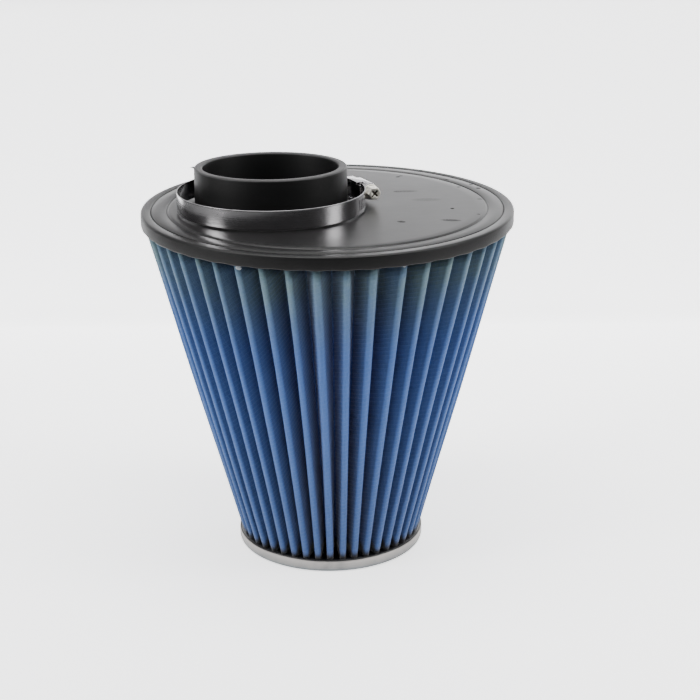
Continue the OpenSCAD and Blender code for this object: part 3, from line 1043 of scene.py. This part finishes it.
@dataclass
class BandStrip:
    """The clamp's strip, wound once round and over itself, with its slots, in millimetres."""

    x: float = -36.6805
    y: float = -11.1967
    z: float = 238.6
    radius_x: float = 61.25
    radius_y: float = 56.85
    width: float = 12.7
    thick: float = 0.65
    gap: float = 0.15
    start: float = 14.2666
    turn: float = 398.733
    slot_from: float = 325.0
    slot_to: float = 395.73
    slot_step: float = 2.99341
    slot_w: float = 1.2
    slot_l: float = 7.6
    slope: float = 8.0
    edge: float = 0.22
    crease: float = 38.0

    def columns(self) -> tuple[np.ndarray, np.ndarray]:
        """Angles of the grid's columns from the fixed end, and which cells lie in a slot.

        Returns:
            Angles in degrees, and for each cell between two columns 0 for the land, 1 for a slot's
            side and 2 for its middle.
        """
        half = math.degrees(self.slot_w / 2 / self.radius_x)
        slots = np.arange(self.slot_from, self.slot_to, self.slot_step)
        cuts = np.array([-half, -half * 0.45, half * 0.45, half])
        land = half + (self.slot_step - 2 * half) * np.array([0.25, 0.5, 0.75])
        zone = (slots[:, None] + np.concatenate([cuts, land])[None, :]).ravel()
        kinds = np.tile([1, 2, 1, 0, 0, 0, 0], len(slots))
        plain = np.arange(0.0, self.slot_from - half - 0.8, 1.1)
        tail = np.linspace(zone[-1], self.turn, 14)[1:]
        angles = np.concatenate([plain, zone, tail])
        kind = np.concatenate([np.zeros(len(plain), int), kinds, np.zeros(len(tail), int)])[:-1]
        return angles, kind

    def rows(self) -> tuple[np.ndarray, np.ndarray]:
        """Heights of the grid's rows across the strip, and which cells lie in a slot.

        Returns:
            Heights in millimetres, and for each cell between two rows 0 for the land, 1 for a
            slot's end and 2 for its middle.
        """
        e, w, half = self.edge, self.width, self.slot_l / 2
        rim = np.array([0.0, 0.12, 0.35, 0.65, 1.0]) * e
        side = np.linspace(e, w / 2 - half, 4)[1:]
        slot = w / 2 + half * np.array([-0.95, -0.6, 0.0, 0.6, 0.95])
        low = np.concatenate([rim, side])
        rows = np.concatenate([low, slot, (w - low)[::-1]])
        reach = np.minimum(rows[1:] - (w / 2 - half), (w / 2 + half) - rows[:-1])
        depth = np.where(reach < 1e-6, 0, np.where(reach < 0.06 * self.slot_l, 2, 1))
        return rows, depth

    def grid(self, angles: np.ndarray, rows: np.ndarray, side: int) -> np.ndarray:
        """One face of the strip.

        A point at angle a lies on an ellipse that grows by the strip's thickness and the gap in
        one turn. In the slotted stretch the columns lean with the slots. Towards both edges the
        two faces close on each other in a quarter circle, and the free end is rounded off.

        Args:
            angles: Angles of the columns from the fixed end.
            rows: Heights of the rows.
            side: +1 for the outer face, -1 for the inner one.

        Returns:
            Array (rows, cols, 3).
        """
        rows, angles = rows[:, None], angles[None, :]
        zone = np.clip((angles - self.slot_from + 4) / 3, 0, 1)
        zone = zone * np.clip((self.slot_to + 3 - angles) / 3, 0, 1)
        lean = math.tan(math.radians(self.slope)) / self.radius_x
        slant = np.degrees((rows - self.width / 2) * lean)
        a = np.radians(self.start + angles - slant * zone)
        away = np.minimum(rows, self.width - rows)
        full = np.sqrt(np.clip(1 - (1 - np.clip(away / self.edge, 0.12, 1)) ** 2, 0, 1))
        grow = (self.thick + self.gap) * ((angles / 360) - 1)
        off = self.thick / 2 * (1 + side * full) + grow
        tail = np.clip((self.turn - angles) / 2.2, 0, 1)
        narrow = 0.45 + 0.55 * np.sqrt(1 - (1 - tail) ** 2)
        x = self.x + (self.radius_x + off) * np.cos(a)
        y = self.y + (self.radius_y + off) * np.sin(a)
        z = self.z + self.width / 2 + (rows - self.width / 2) * narrow
        return np.stack([x, y, z + 0 * a], -1)

    def make(self) -> bpy.types.Object:
        """Makes the strip: both faces without the slots' cells, and walls along every border.

        A wall joins the two faces wherever a kept cell meets a dropped one or the grid's end.

        Returns:
            The strip.
        """
        angles, kind = self.columns()
        rows, depth = self.rows()
        outer, inner = self.grid(angles, rows, 1), self.grid(angles, rows, -1)
        n, m = len(rows), len(angles)
        inside, middle = depth[:, None], kind[None, :]
        keep = ~((inside >= 1) & (middle >= 1) & ((inside < 2) | (middle > 1)))
        index = np.arange(n * m).reshape(n, m)
        shift = n * m
        corners = [index[:-1, :-1], index[:-1, 1:], index[1:, 1:], index[1:, :-1]]
        cells = np.stack(corners, -1)[keep]
        faces = [cells, cells[:, ::-1] + shift]
        pad = np.pad(keep, 1)
        for before, after, first, second in (
                (pad[1:-1, :-1], pad[1:-1, 1:], index[:-1, :], index[1:, :]),
                (pad[1:, 1:-1], pad[:-1, 1:-1], index[:, :-1], index[:, 1:])):
            opens, closes = after & ~before, before & ~after
            p, q = first[opens], second[opens]
            faces.append(np.stack([p, q, q + shift, p + shift], -1))
            p, q = first[closes], second[closes]
            faces.append(np.stack([p, p + shift, q + shift, q], -1))
        quads = np.concatenate(faces)
        points = np.concatenate([outer.reshape(-1, 3), inner.reshape(-1, 3)])
        # The rim mark carries painted shade on the strip's rounded edges.
        rim = np.tile(np.repeat(np.minimum(rows, self.width - rows) < self.edge * 0.9, m), 2)
        used, quads = np.unique(quads, return_inverse=True)
        strip = Sheet.build("band_strip", points[used], quads.reshape(-1, 4),
                            marks={"rim": rim[used]})
        strip.data.set_sharp_from_angle(angle=math.radians(self.crease))
        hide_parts("clamp_band")
        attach(strip, FILTER)
        LOG.info("strip: %d cells", len(quads))
        return strip


@dataclass
class HoseClamp:
    """The loosened worm-drive clamp: the strip, and CAD copies with softened edges.

    Sizes are in millimetres and angles in degrees.
    """

    edge: float = 0.18
    weld: float = 0.01
    level: float = 1.0
    crease: float = 40.0
    # The steel's rim tone is painted shade that dims the highlight on the strip's edges.
    steel: TurnedMetal = TurnedMetal(
        "clamp_steel", colour=(0.50, 0.49, 0.50), smudge=(0.30, 0.30, 0.31), rough=0.13,
        lines=1400.0, line_share=0.10, smudge_share=0.35,
        rim_shade_tone=(0.175, 0.1715, 0.175), rim_shade_share=0.55)

    def softened(self, node: str, name: str, body: str, finish: Finish,
                 sharp: float) -> None:
        """Copies a CAD node, merges its corners and rounds its edges.

        Args:
            node: The CAD node that is replaced.
            name: Name of the new piece.
            body: The body it rides on.
            finish: Its finish.
            sharp: Angle in degrees from which an edge is rounded.
        """
        copy = bpy.data.objects.new(name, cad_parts[node].data.copy())
        bpy.context.scene.collection.objects.link(copy)
        weld = copy.modifiers.new("weld", "WELD")
        weld.merge_threshold = self.weld * MM
        plane = copy.modifiers.new("flat", "DECIMATE")
        plane.decimate_type = "DISSOLVE"
        plane.angle_limit = math.radians(self.level)
        bevel = copy.modifiers.new("edges", "BEVEL")
        bevel.width = self.edge * MM
        bevel.segments = 2
        bevel.limit_method = "ANGLE"
        bevel.angle_limit = math.radians(sharp)
        depsgraph = bpy.context.evaluated_depsgraph_get()
        mesh = bpy.data.meshes.new_from_object(copy.evaluated_get(depsgraph))
        copy.modifiers.clear()
        copy.data = mesh
        mesh.polygons.foreach_set("use_smooth", np.ones(len(mesh.polygons), bool))
        mesh.set_sharp_from_angle(angle=math.radians(self.crease))
        finish.dress(copy)
        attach(copy, body)
        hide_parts(node)
        LOG.info("%s: %d faces", name, len(mesh.polygons))

    def make(self) -> None:
        """Makes the clamp's four pieces."""
        self.steel.dress(BandStrip().make())
        self.softened("clamp_saddle", "band_saddle", FILTER, self.steel, 32)
        self.softened("clamp_housing", "worm_housing", FILTER, self.steel, 32)
        self.softened("clamp_screw", "worm_screw", SCREW, ZincPlate(), 48)


@dataclass(frozen=True)
class Lamp:
    """One soft area light: its place, the point it faces, its width and height, and its watts."""

    name: str
    at: Place
    aim: Place
    size: Span
    watts: float

    def make(self) -> None:
        """Adds the light to the scene."""
        data = bpy.data.lights.new(self.name, "AREA")
        data.shape = "RECTANGLE"
        data.size, data.size_y = self.size
        data.energy = self.watts
        piece = bpy.data.objects.new(self.name, data)
        piece.location = self.at
        facing = Vector(self.aim) - Vector(self.at)
        piece.rotation_euler = facing.to_track_quat("-Z", "Y").to_euler()
        bpy.context.scene.collection.objects.link(piece)


@dataclass(frozen=True)
class SweepPaper(Finish):
    """White glowing paper, dimmer towards its sides, front and top, and clear from behind."""

    name: str = "paper"
    colour: Colour = (0.86, 0.86, 0.865)
    dim_share: float = 0.14
    glow_tone: Colour = (1.0, 1.0, 1.01)
    dim_glow: Colour = (0.03, 0.03, 0.03)
    glow: float = 1.6
    dim_front: Span = (0.28, 0.62)
    dim_side: Span = (0.50, 0.85)
    dim_high: Span = (0.29, 0.38)

    def fill(self, kit: NodeKit) -> None:
        """Dims the paper by its distance from the middle, in metres.

        Args:
            kit: The material's nodes.
        """
        x, y, z = kit.place()
        side = (-x).rise(*self.dim_side).larger(x.rise(*self.dim_side))
        side = side.larger((-y).rise(*self.dim_front))
        high = z.rise(*self.dim_high) * (0.90 - 0.45 * x.rise(-0.25, 0.25))
        dim = side.larger(high)
        tone = kit.mix(kit.noise(3.0, 2.0), self.colour, toned(self.colour, 0.97))
        tone = kit.mix(dim, tone, toned(self.colour, self.dim_share))
        glow = kit.mix(dim, self.glow_tone, self.dim_glow)
        behind = kit.add("ShaderNodeNewGeometry", output="Backfacing")
        kit.surface(Base_Color=tone, Roughness=0.7, Emission_Color=glow,
                    Emission_Strength=self.glow, Alpha=1 - behind)


@dataclass
class Studio:
    """Floor, wall, lights and camera, in metres."""

    camera_at: Place = (0.0143, -1.0927, 0.5168)
    pitch: float = 19.22
    roll: float = -0.38
    sensor: float = 36.0
    focal_px: float = 1700.0
    frame_px: float = 700.0
    wall_y: float = 0.48
    wall_top: float = 1.6
    front_y: float = -1.6
    half_width: float = 1.5
    bend: float = 0.02
    room: tuple[float, float, float, float] = (0.95, 0.97, 1.0, 1.0)
    room_light: float = 0.12
    lamps: tuple[Lamp, ...] = (
        Lamp("top", (0.0, -0.35, 1.75), (0.0, 0.05, 0.0), (2.4, 1.2), 37.0),
        Lamp("wall", (0.0, -0.10, 1.35), (0.0, 0.48, 0.35), (2.4, 0.5), 16.0),
        Lamp("left", (-1.20, -0.54, 0.72), (0.0, 0.0, 0.15), (0.42, 0.60), 14.0),
        Lamp("right", (1.27, -0.27, 0.72), (0.0, 0.0, 0.15), (0.42, 0.60), 12.5),
    )

    def camera(self) -> None:
        """Sets the camera at the photograph's place, angle and focal length."""
        data = bpy.data.cameras.new("camera")
        data.sensor_width = self.sensor
        data.lens = self.sensor * self.focal_px / self.frame_px
        data.clip_start = 0.01
        piece = bpy.data.objects.new("camera", data)
        aim = Euler((math.radians(90 - self.pitch), 0, 0)).to_matrix()
        spin = Matrix.Rotation(math.radians(self.roll), 3, "Z")
        piece.matrix_world = Matrix.Translation(self.camera_at) @ (aim @ spin).to_4x4()
        bpy.context.scene.collection.objects.link(piece)
        bpy.context.scene.camera = piece

    def sweep(self) -> None:
        """Floor and wall as one sheet of paper, bent along a quarter circle where they meet."""
        arc = Sheet.arc(self.wall_y - self.bend, self.bend, self.bend, -90, 0, 6)
        line = np.concatenate([[[self.front_y, 0.0]], arc, [[self.wall_y, self.wall_top]]])
        sides = [-self.half_width, self.half_width]
        parts = np.broadcast_arrays(sides, line[:, :1], line[:, 1:])
        grid = np.stack(parts, -1) / MM
        piece = Sheet.build("paper_sweep", grid, Sheet.quads(len(line), 2, Closing.OPEN))
        SweepPaper().dress(piece)

    def make(self) -> None:
        """Builds the studio."""
        self.camera()
        self.sweep()
        world = bpy.data.worlds.new("room")
        world.use_nodes = True
        backdrop = world.node_tree.nodes["Background"]
        backdrop.inputs[0].default_value = self.room
        backdrop.inputs[1].default_value = self.room_light
        bpy.context.scene.world = world
        for lamp in self.lamps:
            lamp.make()
        LOG.info("studio: sweep, %d soft lights, camera", len(self.lamps))


def main() -> None:
    """Builds the filter's classes in order, then the studio."""
    logging.basicConfig(level=logging.INFO, format="%(name)s: %(message)s")
    TopCap().make()
    PleatedPack().make()
    NarrowEnd().make()
    HoseClamp().make()
    Studio().make()


if __name__ == "__main__":
    main()
